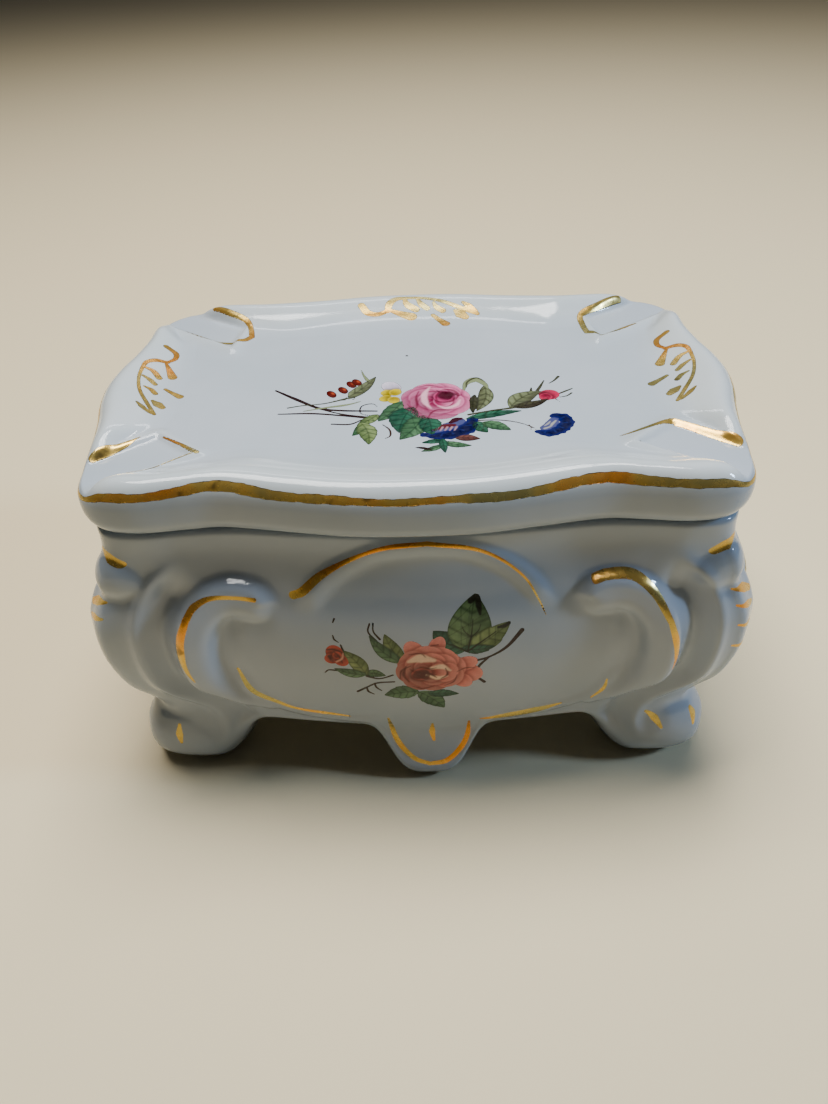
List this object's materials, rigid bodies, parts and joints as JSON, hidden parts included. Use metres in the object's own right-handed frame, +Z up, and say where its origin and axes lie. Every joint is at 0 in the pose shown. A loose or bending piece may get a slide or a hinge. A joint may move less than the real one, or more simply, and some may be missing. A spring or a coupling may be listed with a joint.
{
  "type": "porcelain trinket box",
  "caption": "Footed bombe porcelain trinket box with a lift-off tray lid that has a channel through its rim at each corner.",
  "frame": {"origin": "on the surface the box stands on, under the middle of the box", "axes": "+X along the length, +Z up through the lid, the decorated front faces -Y"},
  "size_m": [0.1216, 0.0824, 0.0689],
  "materials": {
    "base_glaze": "high gloss cool white glaze, worn gold lines and a printed rose spray",
    "lid_glaze": "high gloss cool white glaze, worn gold lines and a printed rose spray"
  },
  "bodies": {
    "base": {"box_base": "base_glaze"},
    "lid": {"box_lid": "lid_glaze"}
  },
  "joints": [
    {"name": "lid_lift", "type": "slide", "parent": "base", "child": "lid", "axis": [0, 0, 1], "range_m": [0, 0.045]}
  ]
}
